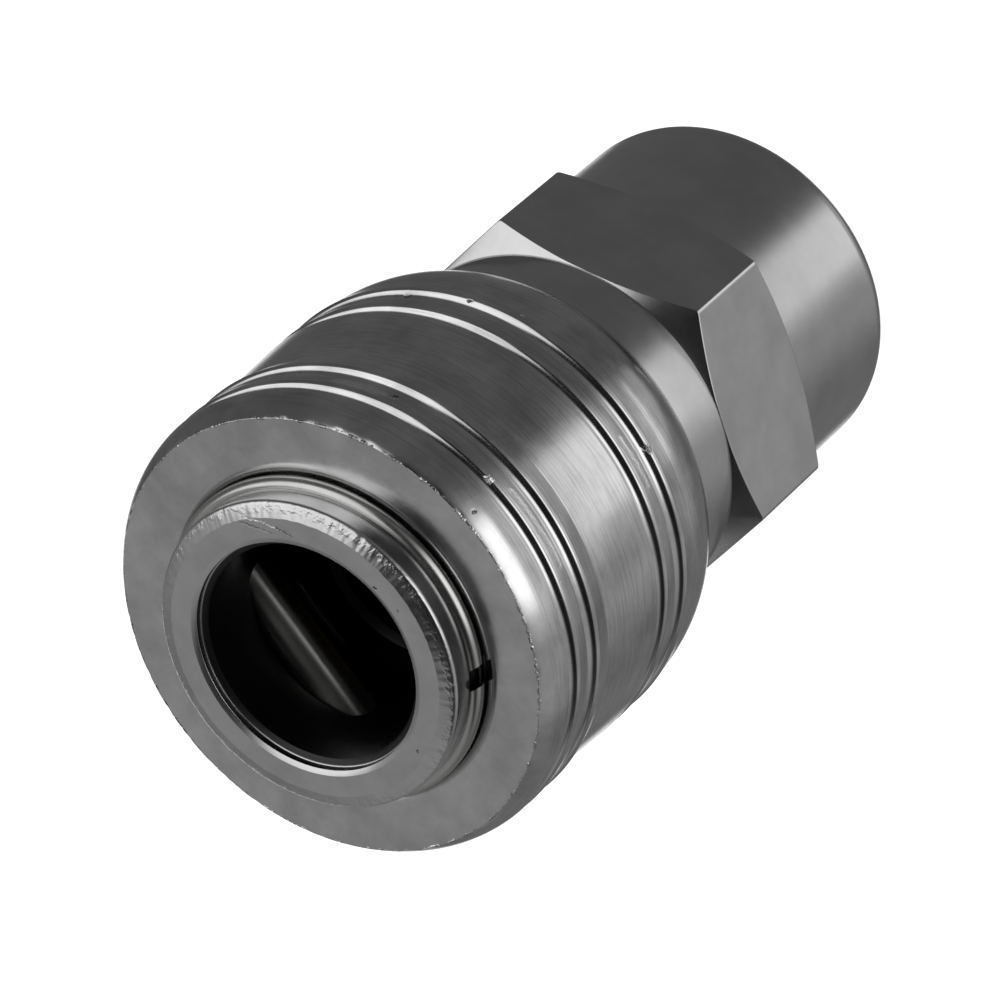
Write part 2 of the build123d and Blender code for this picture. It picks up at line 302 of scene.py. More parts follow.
    def knocked_rim(
        self,
        tree: bpy.types.NodeTree,
        point: bpy.types.NodeSocket,
        radius: bpy.types.NodeSocket,
        level: bpy.types.NodeSocket,
        normal: bpy.types.NodeSocket,
    ) -> bpy.types.NodeSocket:
        """Roughens a thin ring along one turned edge, as small knocks do.

        Args:
            tree: the material's node tree.
            point: the point in millimetres.
            radius: its distance from the axis.
            level: its level.
            normal: the normal without the knocks.

        Returns:
            The normal with them.
        """
        edge_radius, edge_level, width = self.rim
        place = add_node(tree, "ShaderNodeCombineXYZ", {"X": radius, "Y": level})
        gap = add_node(
            tree, "ShaderNodeVectorMath", {0: place.outputs[0], 1: (edge_radius, edge_level, 0.0)}, operation="DISTANCE"
        ).outputs["Value"]
        near = self.spread(tree, gap, (0.3 * width, width), (1.0, 0.0))
        grain = add_node(tree, "ShaderNodeTexNoise", {"Vector": point, "Scale": 2.6, "Detail": 2.0, "Roughness": 0.6})
        knocks = self.times(tree, near, self.spread(tree, grain.outputs["Fac"], (0.48, 0.66), (0.0, 1.0)))
        return add_node(
            tree, "ShaderNodeBump", {"Height": knocks, "Strength": 1.0, "Distance": self.rim_depth * MM, "Normal": normal}
        ).outputs[0]

    def worn(
        self,
        tree: bpy.types.NodeTree,
        point: bpy.types.NodeSocket,
        bright: bpy.types.NodeSocket,
        normal: bpy.types.NodeSocket,
    ) -> tuple[bpy.types.NodeSocket, bpy.types.NodeSocket]:
        """Lays the finish's nicks and worn patches over it.

        Args:
            tree: the material's node tree.
            point: the point in millimetres.
            bright: the finish's brightness without them.
            normal: its normal without them.

        Returns:
            Brightness and normal with them.
        """
        ragged = add_node(tree, "ShaderNodeTexNoise", {"Vector": point, "Scale": 3.5, "Detail": 3.0, "Roughness": 0.7})
        centred = add_node(
            tree, "ShaderNodeVectorMath", {0: ragged.outputs["Color"], 1: (0.5, 0.5, 0.5)}, operation="SUBTRACT"
        )
        shift = add_node(tree, "ShaderNodeVectorMath", {0: centred.outputs[0], "Scale": 0.35}, operation="SCALE")
        place = add_node(tree, "ShaderNodeVectorMath", {0: point, 1: shift.outputs[0]}, operation="ADD").outputs[0]
        for mark in self.wear:
            cover = mark.cover(tree, place)
            bright = self.times(tree, bright, self.spread(tree, cover, (0.0, 0.6), (1.0, mark.shade)))
            if mark.depth:
                normal = add_node(
                    tree,
                    "ShaderNodeBump",
                    {"Height": cover, "Strength": 1.0, "Distance": mark.depth * MM, "Normal": normal},
                    invert=True,
                ).outputs[0]
        return bright, normal

    def extra_bump(
        self, tree: bpy.types.NodeTree, point: bpy.types.NodeSocket, normal: bpy.types.NodeSocket
    ) -> bpy.types.NodeSocket:
        """Adds small pits to the bump where the finish has them, and returns the final normal."""
        if not self.pit_share:
            return normal
        cells = add_node(tree, "ShaderNodeTexVoronoi", {"Vector": point, "Scale": 0.9}, feature="F1")
        pick = add_node(tree, "ShaderNodeSeparateColor", {0: cells.outputs["Color"]})
        chosen = add_node(
            tree, "ShaderNodeMath", {0: pick.outputs[0], 1: self.pit_share}, operation="LESS_THAN"
        )
        dent = add_node(
            tree,
            "ShaderNodeMapRange",
            {"Value": cells.outputs["Distance"], "From Min": 0.02, "From Max": 0.1, "To Min": 1.0, "To Max": 0.0},
        )
        held = add_node(tree, "ShaderNodeMath", {0: dent.outputs[0], 1: chosen.outputs[0]}, operation="MULTIPLY")
        bump = add_node(
            tree,
            "ShaderNodeBump",
            {"Height": held.outputs[0], "Strength": 0.8, "Distance": 0.03 * MM, "Normal": normal},
            invert=True,
        )
        return bump.outputs["Normal"]


# Wear of the sleeve: worn ribs, nicks in its grooves and on its edges
SLEEVE_WEAR = (
    Mark((-56, 13.06, 38.45), (-44, 13.06, 38.45), 0.42, 0.01, 1.35),
    Mark((-112, 13.06, 38.4), (-93, 13.06, 38.5), 0.34, 0.01, 1.25),
    Mark((-58, 13.05, 38.3), (-58.8, 13.05, 38.2), 0.22, 0.08, 0.15),
    Mark((-87, 13.0, 39.15), (-87.4, 13.0, 39.1), 0.26, -0.05, 1.7),
    Mark((-105, 13.05, 28.35), (-106, 13.05, 28.1), 0.34, 0.05, 0.4),
    Mark((-112, 13.05, 29.5), (-100, 13.05, 29.6), 0.3, 0.01, 1.25),
    Mark((-51, 13.0, 28.5), (-51.5, 13.0, 28.2), 0.2, 0.06, 0.2),
    Mark((-64, 13.0, 27.6), (-64, 13.0, 27.6), 0.16, 0.03, 1.7),
    Mark((-90.5, 12.6, 41.15), (-90.5, 12.6, 41.15), 0.18, 0.05, 0.2),
    Mark((-35, 12.6, 28.2), (-36, 12.6, 27.9), 0.35, 0.06, 0.3),
)
# Wear of the nose: a scratch across its face, and pits
NOSE_WEAR = (
    Mark((-24, 8.05, 44.04), (-31, 7.75, 44.04), 0.09, 0.03, 1.9),
    Mark((-31, 7.75, 44.04), (-38, 7.35, 44.04), 0.07, 0.03, 1.9),
    Mark((-38, 7.35, 44.04), (-45, 7.0, 44.04), 0.07, 0.03, 0.45),
    Mark((-22, 7.8, 44.04), (-29, 7.35, 44.04), 0.08, 0.02, 0.55),
    Mark((-29, 7.35, 44.04), (-37, 6.95, 44.04), 0.06, 0.02, 0.6),
    Mark((-87, 6.9, 44.04), (-88, 6.9, 44.04), 0.11, 0.03, 0.2),
    Mark((-167, 7.4, 44.04), (-167.5, 7.45, 44.04), 0.12, 0.02, 0.45),
    Mark((-100, 7.15, 44.04), (-101, 7.15, 44.04), 0.06, 0.02, 0.6),
)

# Nickel plate over turned metal: a grey mirror with tool marks, handled and worn
NICKEL = Finish(
    "Nickel_plate_turned",
    "#CBCBCB",
    1.0,
    0.17,
    Lay.TURNED,
    0.11,
    0.0016,
    0.04,
    pit_share=0.06,
    streaks=0.2,
    streaks_from=12.7,
    mottle=0.14,
    rim=(12.3, 41.74, 0.11),
    wear=SLEEVE_WEAR,
)
# The same plate on the nose, its bore and the snap ring's groove darkened as painted shade and dulled
NICKEL_NOSE = Finish(
    "Nickel_plate_nose",
    "#C8C8C8",
    1.0,
    0.24,
    Lay.TURNED,
    0.11,
    0.001,
    0.03,
    mottle=0.08,
    shaded_bore_radius=6.44,
    shaded_seat_radius=8.7,
    rim=(8.45, 43.86, 0.36),
    rim_depth=0.012,
    wear=NOSE_WEAR,
)
# Nickel plate over drawn hexagon bar: even and a little softer
NICKEL_HEX = Finish("Nickel_plate_drawn_bar", "#C4C4C4", 1.0, 0.21, Lay.GROUND, 0.07, 0.0004, 0.02, mottle=0.06)
# Hardened roller steel, ground: fine even grain and a bright line of light
PIN_STEEL = Finish("Roller_steel_ground", "#B8B8B6", 1.0, 0.3, Lay.GROUND, 0.05, 0.0006, 0.03)
# Spring wire, drawn: smooth and bright
WIRE = Finish("Spring_wire_drawn", "#BDBDBB", 1.0, 0.26, Lay.GROUND, 0.1, 0.0006, 0.04)
# Turned brass in the valve: yellow, darkened by oil
BRASS = Finish("Brass_oiled", "#5C4928", 1.0, 0.4, Lay.TURNED, 0.15, 0.001, 0.05)
# Nitrile rubber, moulded: black with a dull skin
RUBBER = Finish("Nitrile_rubber_moulded", "#141414", 0.0, 0.6, Lay.MOULDED, 0.2, 0.01, 0.06)


# ---- turned shapes


@dataclass(frozen=True)
class Corner:
    """One corner of a profile: radius from the axis, level, and the fillet that rounds it."""

    r: float
    z: float
    fillet: float = 0.0


def arc(centre: Point, radius: float, start: float, end: float, steps: int) -> list[Corner]:
    """Points on an arc, for a profile.

    Args:
        centre: the arc's centre as radius and level.
        radius: the arc's radius.
        start: first angle in degrees, 0 pointing away from the axis and 90 up.
        end: last angle in degrees.
        steps: number of spans.

    Returns:
        Corners without fillets, ends included.
    """
    angles = [math.radians(start + (end - start) * i / steps) for i in range(steps + 1)]
    return [Corner(centre[0] + radius * math.cos(a), centre[1] + radius * math.sin(a)) for a in angles]


def rounded(corners: Sequence[Corner], steps: int = 5) -> list[Point]:
    """Rounds a closed profile's corners by their fillets.

    Args:
        corners: the profile's corners in order.
        steps: spans in each fillet, the same everywhere so that profiles match point for point.

    Returns:
        Points of the closed profile.
    """
    points: list[Point] = []
    for i, corner in enumerate(corners):
        here = Vector((corner.r, corner.z))
        if corner.fillet <= 0:
            points.append((here.x, here.y))
            continue
        before = Vector((corners[i - 1].r, corners[i - 1].z)) - here
        after_corner = corners[(i + 1) % len(corners)]
        after = Vector((after_corner.r, after_corner.z)) - here
        room = 0.49 * min(before.length, after.length)
        if room < 1e-6:
            points.extend([(here.x, here.y)] * (steps + 1))
            continue
        a, b = before.normalized(), after.normalized()
        half = a.angle(b) / 2
        reach = min(corner.fillet / math.tan(max(half, 0.05)), room)
        start, end = here + a * reach, here + b * reach
        for k in range(steps + 1):
            t = k / steps
            bend = start.lerp(here, t).lerp(here.lerp(end, t), t)
            points.append((bend.x, bend.y))
    return points


def groove(lip: Corner, crest: float, fall: float, depth: float = 0.42, hollow: float = 0.45, over: float = 0.27) -> list[Corner]:
    """A grip groove with a crisp front lip and a rear lip rounded over, for a profile that runs downwards.

    Args:
        lip: the front lip.
        crest: radius of the band behind the groove.
        fall: the angle in degrees at which the surface falls away behind the groove.
        depth: depth below the crest.
        hollow: radius of the hollow bottom.
        over: radius of the rounded rear lip.

    Returns:
        The groove's corners from the front lip to the end of the rear lip.
    """
    middle = crest - depth + hollow
    level = lip.z - math.sqrt(hollow**2 - (middle - lip.r) ** 2)
    run = math.sqrt((hollow + over) ** 2 - (hollow + over - depth) ** 2)
    front = math.degrees(math.acos((lip.r - middle) / hollow))
    bend = math.degrees(math.asin(run / (hollow + over)))
    return [
        Corner(lip.r, lip.z, 0.05),
        *arc((middle, level), hollow, front, 180 + bend, 16)[1:],
        *arc((crest - over, level - run), over, bend, -fall, 10)[1:],
    ]


def finish_mesh(name: str, bm: bmesh.types.BMesh, sharp: float = 32.0) -> bpy.types.Object:
    """Makes an object of a bmesh in millimetres, smooth but for its sharp edges.

    Args:
        name: the piece's name.
        bm: its mesh, which is freed.
        sharp: the angle in degrees above which an edge stays crisp.

    Returns:
        The new object, in metres, at the origin.
    """
    bmesh.ops.remove_doubles(bm, verts=bm.verts, dist=1e-4)
    bmesh.ops.dissolve_degenerate(bm, edges=bm.edges, dist=1e-5)
    bmesh.ops.recalc_face_normals(bm, faces=bm.faces)
    bmesh.ops.scale(bm, vec=(MM, MM, MM), verts=bm.verts)
    mesh = bpy.data.meshes.new(name)
    bm.to_mesh(mesh)
    bm.free()
    mesh.shade_smooth()
    mesh.set_sharp_from_angle(angle=math.radians(sharp))
    obj = bpy.data.objects.new(name, mesh)
    bpy.context.scene.collection.objects.link(obj)
    return obj


def spin(
    name: str,
    profile_at: Callable[[float], Sequence[Point]],
    angles: Sequence[float],
    place: Matrix | None = None,
    sharp: float = 32.0,
) -> bpy.types.Object:
    """Carries a closed profile round the axis.

    Args:
        name: the piece's name.
        profile_at: gives the profile at an angle in radians, always with as many points.
        angles: the angles in order, once round.
        place: where the piece stands in the part, in millimetres, if not on the main axis.
        sharp: the angle in degrees above which an edge stays crisp.

    Returns:
        The closed piece.
    """
    bm = bmesh.new()
    rings = []
    for angle in angles:
        c, s = math.cos(angle), math.sin(angle)
        rings.append([bm.verts.new((r * c, r * s, z)) for r, z in profile_at(angle)])
    count = len(rings[0])
    for k, ring in enumerate(rings):
        following = rings[(k + 1) % len(rings)]
        for i in range(count):
            j = (i + 1) % count
            bm.faces.new((ring[i], following[i], following[j], ring[j]))
    if place is not None:
        bmesh.ops.transform(bm, matrix=place, verts=bm.verts)
    return finish_mesh(name, bm, sharp)


def even_angles(count: int) -> list[float]:
    """Evenly spread angles once round, in radians."""
    return [2 * math.pi * i / count for i in range(count)]


def cut(obj: bpy.types.Object, cutter: bpy.types.Object) -> None:
    """Takes the cutter's volume out of obj for good, and removes the cutter."""
    modifier = obj.modifiers.new("cut", "BOOLEAN")
    modifier.operation = "DIFFERENCE"
    modifier.solver = "EXACT"
    modifier.object = cutter
    bpy.context.view_layer.update()
    result = bpy.data.meshes.new_from_object(obj.evaluated_get(bpy.context.evaluated_depsgraph_get()))
    obj.modifiers.clear()
    obj.data = result
    obj.data.set_sharp_from_angle(angle=math.radians(32))
    bpy.data.objects.remove(cutter)


def dress(obj: bpy.types.Object, material: bpy.types.Material) -> bpy.types.Object:
    """Gives a piece its one material."""
    obj.data.materials.clear()
    obj.data.materials.append(material)
    return obj


# ---- sub-assemblies


@dataclass
class Sleeve:
    """Sliding sleeve: crowned front band, two pairs of grooves, waist and domed tail."""

    band: float = 13.06
    face: float = 41.74
    length: float = 18.8
    crown_length: float = 2.1
    crown_drop: float = 0.76
    groove_lips: tuple[float, ...] = (40.02, 38.02, 31.03, 29.03)
    falls: tuple[float, ...] = (6.0, 12.0, 6.0, 10.0)
    rib_drop: float = 0.09
    waist_low: float = 35.7
    waist_drop: float = 0.26
    shoulder_low: float = 27.0
    shoulder_drop: float = 0.16
    dome_drop: float = 1.4
    tail_round: float = 0.33
    bore: float = 10.5
    land: float = 8.78
    pin_groove: float = 10.986
    pin_groove_low: float = 36.64
    pin_groove_high: float = 39.39
    recess: float = 9.9
    recess_depth: float = 0.55
    rim_wander: float = 0.04
    rim_share: float = 0.3
    segments: int = 360

    def profile(self) -> list[Point]:
        """The sleeve's closed profile, from the front edge down the outside and up the bore."""
        tail = self.face - self.length
        crown = (self.crown_length**2 + self.crown_drop**2) / (2 * self.crown_drop)
        crown_low = self.face - self.crown_length
        crown_start = math.degrees(math.asin(self.crown_length / crown))
        crown_end = math.degrees(math.asin((self.groove_lips[0] - crown_low) / crown))
        corners = arc((self.band - crown, crown_low), crown, crown_start, crown_end, 12)
        corners[0] = Corner(corners[0].r, corners[0].z, 0.05)
        first = corners.pop()
        lips = [first, *(Corner(self.band - self.rib_drop * (i % 2), self.groove_lips[i]) for i in (1, 2, 3))]
        for i, (lip, fall) in enumerate(zip(lips, self.falls)):
            corners += groove(lip, self.band, fall)
            if i == 1:
                corners.append(Corner(self.band - self.waist_drop, self.waist_low, 0.7))
        shoulder = self.band - self.shoulder_drop
        dome_run = self.shoulder_low - tail
        dome = (dome_run**2 + self.dome_drop**2) / (2 * self.dome_drop)
        inner = dome - self.tail_round
        tail_angle = math.asin((dome_run - self.tail_round) / inner)
        tail_middle = (shoulder - dome + inner * math.cos(tail_angle), tail + self.tail_round)
        corners += arc((shoulder - dome, self.shoulder_low), dome, 0, -math.degrees(tail_angle), 14)
        corners += arc(tail_middle, self.tail_round, -math.degrees(tail_angle), -90, 6)[1:]
        hollow_run = self.recess - self.land
        hollow = (hollow_run**2 + self.recess_depth**2) / (2 * self.recess_depth)
        hollow_end = 180 - math.degrees(math.acos(hollow_run / hollow))
        corners += [
            Corner(self.bore + 0.35, tail, 0.06),
            Corner(self.bore, tail + 0.35, 0.06),
            Corner(self.bore, self.pin_groove_low),
            Corner(self.pin_groove, self.pin_groove_low),
            Corner(self.pin_groove, self.pin_groove_high),
            Corner(self.land, self.pin_groove_high),
            *arc((self.recess, self.face - hollow), hollow, hollow_end, 90, 12),
            Corner(self.band - self.crown_drop - self.rim_share, self.face),
            Corner(self.band - self.crown_drop - 0.8 * self.rim_share, self.face),
        ]
        return rounded(corners)

    def chipped(self, profile: list[Point], angle: float) -> list[Point]:
        """The profile with its front edge a little uneven, as knocks left it.

        Args:
            profile: the even profile.
            angle: where it stands, in radians.

        Returns:
            The profile at that angle.
        """
        place = Vector((math.cos(angle), math.sin(angle), 0.3)) * 22.0
        knock = max(noise.fractal(place, 0.7, 2.0, 3) - 0.05, 0.0) * self.rim_wander
        edge = self.band - self.crown_drop
        return [
            (r - knock, z - knock) if abs(r - edge) < 0.12 and z > self.face - 0.12 else (r, z) for r, z in profile
        ]

    def build(self, nickel: bpy.types.Material) -> list[bpy.types.Object]:
        """Builds and dresses the sleeve.

        Args:
            nickel: the plated finish.

        Returns:
            The sleeve's piece.
        """
        profile = self.profile()
        piece = dress(spin("sleeve_turned", lambda angle: self.chipped(profile, angle), even_angles(self.segments)), nickel)
        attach(piece, "sleeve")
        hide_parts("sleeve")
        return [piece]


@dataclass
class PinPlace:
    """Where the locking pins lie and how their slots run."""

    azimuth: float = 83.0
    level: float = 38.04
    offset: float = 5.31
    outward: float = 2.06
    back: float = 3.0

    def matrix(self, number: int) -> Matrix:
        """Frame of one pin: origin at its middle, X along the slot, Z along the pin."""
        angle = math.radians(self.azimuth + 180 * number)
        out = Vector((math.cos(angle), math.sin(angle), 0))
        along_slot = (out * self.outward - Vector((0, 0, self.back))).normalized()
        along_pin = Vector((0, 0, 1)).cross(out)
        across = along_pin.cross(along_slot)
        turn = Matrix((along_slot, across, along_pin)).transposed().to_4x4()
        return Matrix.Translation(out * self.offset + Vector((0, 0, self.level))) @ turn


@dataclass
class NoseBody:
    """Turned tube that takes the plug, with its snap ring and the two slanted slots."""

    outer: float = 8.73
    base: float = 16.2
    face: float = 44.04
    chamfer_width: float = 0.83
    chamfer_length: float = 0.31
    chamfer_wander: float = 0.04
    mouth_bevel: float = 6.75
    mouth_edge: float = 6.46
    bore: float = 6.1
    relief: float = 6.3
    relief_top: float = 39.44
    floor: float = 33.14
    tip_bore: float = 5.2
    web: float = 31.94
    housing: float = 7.0
    ring_level: float = 41.94
    ring_radius: float = 8.72
    ring_wire: float = 0.48
    ring_gap: float = 1.0
    ring_gap_azimuth: float = 223.4
    ring_gap_skew: float = 32.0
    slot_width: float = 2.6
    pins: PinPlace = field(default_factory=PinPlace)

    def profile_at(self, angle: float) -> list[Point]:
        """The tube's closed profile at an angle, with the half-round groove for the snap ring."""
        edge = self.face - 0.12
        place = Vector((math.cos(angle), math.sin(angle), 0.0)) * 14.0
        wander = self.chamfer_wander * noise.fractal(place, 0.6, 2.0, 3)
        dent = 0.5 * self.chamfer_wander * noise.fractal(place * 1.7, 0.6, 2.0, 3)
        seat = self.ring_wire + 0.02
        reach = math.degrees(math.acos((self.ring_radius - self.outer) / seat))
        ring = arc((self.ring_radius, self.ring_level), seat, 180 - (180 - reach) + 0, 360 - reach, 14)
        ring = [c for c in ring if c.r <= self.outer + 1e-3]
        corners = [
            Corner(self.outer - self.chamfer_width + wander, self.face, 0.03),
            Corner(self.outer - 0.5 * self.chamfer_width, self.face - 0.5 * self.chamfer_length + dent),
            Corner(self.outer, self.face - self.chamfer_length + 0.5 * dent, 0.3),
            *ring,
            Corner(self.outer, self.base),
            Corner(self.housing, self.base),
            Corner(self.housing, self.web),
            Corner(self.tip_bore, self.web),
            Corner(self.tip_bore, self.floor - 0.4, 0.1),
            Corner(self.tip_bore + 0.4, self.floor, 0.1),
            Corner(self.relief, self.floor),
            Corner(self.relief, self.relief_top - 0.2),
            Corner(self.bore, self.relief_top),
            Corner(self.bore, edge - 0.55),
            Corner(self.bore + 0.1, edge - 0.47, 0.03),
            Corner(self.mouth_edge, edge - 0.36, 0.03),
            Corner(self.mouth_edge, edge, 0.05),
            Corner(self.mouth_bevel, self.face, 0.08),
        ]
        return rounded(corners)

    def slot_cutter(self, number: int) -> bpy.types.Object:
        """A long prism of the slot's section, laid across the tube."""
        radius = self.slot_width / 2
        outline = [
            (radius * math.cos(a), radius * math.sin(a))
            for a in (math.radians(90 + 180 * i / 24) for i in range(25))
        ]
        outline += [
            (self.outer + radius * math.cos(a), radius * math.sin(a))
            for a in (math.radians(-90 + 180 * i / 24) for i in range(25))
        ]
        bm = bmesh.new()
        low = [bm.verts.new((x, y, -self.outer * 2)) for x, y in outline]
        high = [bm.verts.new((x, y, self.outer * 2)) for x, y in outline]
        bm.faces.new(low)
        bm.faces.new(high)
        for i in range(len(outline)):
            j = (i + 1) % len(outline)
            bm.faces.new((low[i], low[j], high[j], high[i]))
        bmesh.ops.transform(bm, matrix=self.pins.matrix(number), verts=bm.verts)
        return finish_mesh(f"slot_cutter_{number + 1}", bm)

    def build(self, nickel: bpy.types.Material, steel: bpy.types.Material) -> list[bpy.types.Object]:
        """Builds the tube and its snap ring.

        Args:
            nickel: the tube's plated finish.
            steel: the ring's wire finish.

        Returns:
            Both pieces.
        """
        tube = spin("nose_body_turned", self.profile_at, even_angles(640))
        for number in range(2):
            cut(tube, self.slot_cutter(number))
        dress(tube, nickel)
        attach(tube, "coupling_body")
        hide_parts("nose_body")
        ring = WirePath("snap_ring_wire", self.ring_radius, self.ring_wire, steel).open_ring(
            self.ring_level, self.ring_gap, self.ring_gap_azimuth, self.ring_gap_skew
        )
        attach(ring, "coupling_body")
        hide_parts("snap_ring")
        return [tube, ring]


@dataclass
class WirePath:
    """Round wire laid along a ring or a coil by Geometry Nodes."""

    name: str
    radius: float
    wire: float
    finish: bpy.types.Material

    def tree(self, kind: str, sizes: dict[str, float]) -> tuple[bpy.types.NodeTree, dict[str, bpy.types.NodeSocket]]:
        """Starts a geometry tree with one named input for each size.

        Args:
            kind: what the tree makes.
            sizes: the inputs' names and values, in metres, radians or turns.

        Returns:
            The tree and the sockets that carry its inputs.
        """
        tree = bpy.data.node_groups.new(f"{self.name}_{kind}", "GeometryNodeTree")
        for name, value in sizes.items():
            socket = tree.interface.new_socket(name, in_out="INPUT", socket_type="NodeSocketFloat")
            socket.default_value = value
        tree.interface.new_socket("Geometry", in_out="OUTPUT", socket_type="NodeSocketGeometry")
        entry = add_node(tree, "NodeGroupInput")
        return tree, {name: entry.outputs[name] for name in sizes}

    def finished(self, tree: bpy.types.NodeTree, mesh: bpy.types.NodeSocket, base: float) -> bpy.types.Object:
        """Ends a tree, runs it and keeps its result as a plain mesh.

        Args:
            tree: the geometry tree.
            mesh: the socket that carries the wire's mesh.
            base: the level to lift it to.

        Returns:
            The piece.
        """
        lifted = add_node(
            tree, "GeometryNodeTransform", {"Geometry": mesh, "Translation": (0, 0, base * MM)}
        ).outputs[0]
        smooth = add_node(tree, "GeometryNodeSetShadeSmooth", {"Geometry": lifted}).outputs[0]
        real = add_node(tree, "GeometryNodeRealizeInstances", {"Geometry": smooth}).outputs[0]
        coated = add_node(tree, "GeometryNodeSetMaterial", {"Geometry": real, "Material": self.finish}).outputs[0]
        add_node(tree, "NodeGroupOutput", {"Geometry": coated})
        holder = bpy.data.objects.new(self.name, bpy.data.meshes.new(self.name))
        bpy.context.scene.collection.objects.link(holder)
        modifier = holder.modifiers.new("wire", "NODES")
        modifier.node_group = tree
        bpy.context.view_layer.update()
        result = bpy.data.meshes.new_from_object(holder.evaluated_get(bpy.context.evaluated_depsgraph_get()))
        holder.modifiers.clear()
        holder.data = result
        result.set_sharp_from_angle(angle=math.radians(40))
        return dress(holder, self.finish)

    def section(self, tree: bpy.types.NodeTree, width: bpy.types.NodeSocket) -> bpy.types.NodeSocket:
        """The wire's round section as a curve."""
        return add_node(
            tree, "GeometryNodeCurvePrimitiveCircle", {"Resolution": 24, "Radius": width}, mode="RADIUS"
        ).outputs["Curve"]

    def coil(self, base: float, top: float, turns: float) -> bpy.types.Object:
        """A compression spring that stands on base and reaches up to top.

        Args:
            base: the lower seat's level.
            top: the upper seat's level.
            turns: how often the wire goes round.

        Returns:
            The spring.
        """
        height = top - base - 2 * self.wire - 0.04
        tree, size = self.tree(
            "coil",
            {"Coil Radius": self.radius * MM, "Wire Radius": self.wire * MM, "Height": height * MM, "Turns": turns},
        )
        path = add_node(
            tree,
            "GeometryNodeCurveSpiral",
            {
                "Resolution": 64,
                "Rotations": size["Turns"],
                "Start Radius": size["Coil Radius"],
                "End Radius": size["Coil Radius"],
                "Height": size["Height"],
            },
        )
        wire = add_node(
            tree,
            "GeometryNodeCurveToMesh",
            {"Curve": path.outputs[0], "Profile Curve": self.section(tree, size["Wire Radius"]), "Fill Caps": True},
        )
        return self.finished(tree, wire.outputs[0], base + self.wire + 0.02)

    def open_ring(self, level: float, gap: float, azimuth: float, skew: float) -> bpy.types.Object:
        """A ring with a gap whose ends are cut askew.

        Args:
            level: the ring's middle.
            gap: the gap's width.
            azimuth: where the gap is, in degrees.
            skew: how far its ends are turned from radial, in degrees.

        Returns:
            The ring.
        """
        tree, size = self.tree(
            "ring",
            {
                "Ring Radius": self.radius * MM,
                "Wire Radius": self.wire * MM,
                "Gap": gap * MM,
                "Gap Angle": math.radians(azimuth),
                "Skew": math.radians(skew),
            },
        )
        path = add_node(
            tree, "GeometryNodeCurvePrimitiveCircle", {"Resolution": 256, "Radius": size["Ring Radius"]}, mode="RADIUS"
        )
        wire = add_node(
            tree,
            "GeometryNodeCurveToMesh",
            {"Curve": path.outputs["Curve"], "Profile Curve": self.section(tree, size["Wire Radius"])},
        )
        long_side = add_node(tree, "ShaderNodeMath", {0: size["Wire Radius"], 1: 6.0}, operation="MULTIPLY")
        block_size = add_node(
            tree, "ShaderNodeCombineXYZ", {"X": long_side.outputs[0], "Y": size["Gap"], "Z": long_side.outputs[0]}
        )
        block = add_node(tree, "GeometryNodeMeshCube", {"Size": block_size.outputs[0]})
        skew_turn = add_node(tree, "ShaderNodeCombineXYZ", {"Z": size["Skew"]})
        shift = add_node(tree, "ShaderNodeCombineXYZ", {"X": size["Ring Radius"]})
        askew = add_node(
            tree,
            "GeometryNodeTransform",
            {"Geometry": block.outputs[0], "Translation": shift.outputs[0], "Rotation": skew_turn.outputs[0]},
        )
        round_turn = add_node(tree, "ShaderNodeCombineXYZ", {"Z": size["Gap Angle"]})
        placed = add_node(
            tree, "GeometryNodeTransform", {"Geometry": askew.outputs[0], "Rotation": round_turn.outputs[0]}
        )
        opened = add_node(
            tree,
            "GeometryNodeMeshBoolean",
            {"Mesh 1": wire.outputs[0], "Mesh 2": placed.outputs[0]},
            operation="DIFFERENCE",
        )
        return self.finished(tree, opened.outputs[0], level)


@dataclass
class LockingPins:
    """The two rollers that hold the plug."""

    radius: float = 1.25
    length: float = 12.8
    chamfer: float = 0.25
    place: PinPlace = field(default_factory=PinPlace)

    def build(self, steel: bpy.types.Material) -> list[bpy.types.Object]:
        """Builds both pins.

        Args:
            steel: the ground finish.

        Returns:
            The pins.
        """
        half = self.length / 2
        profile = rounded(
            [
                Corner(0, half),
                Corner(self.radius - self.chamfer, half, 0.06),
                Corner(self.radius, half - self.chamfer, 0.06),
                Corner(self.radius, -half + self.chamfer, 0.06),
                Corner(self.radius - self.chamfer, -half, 0.06),
                Corner(0, -half),
            ]
        )
        made = []
        for number in range(2):
            pin = spin(
                f"locking_pin_{number + 1}_ground", lambda angle: profile, even_angles(72), self.place.matrix(number)
            )
            dress(pin, steel)
            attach(pin, f"locking_pin_{number + 1}")
            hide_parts(f"locking_pin_{number + 1}")
            made.append(pin)
        return made


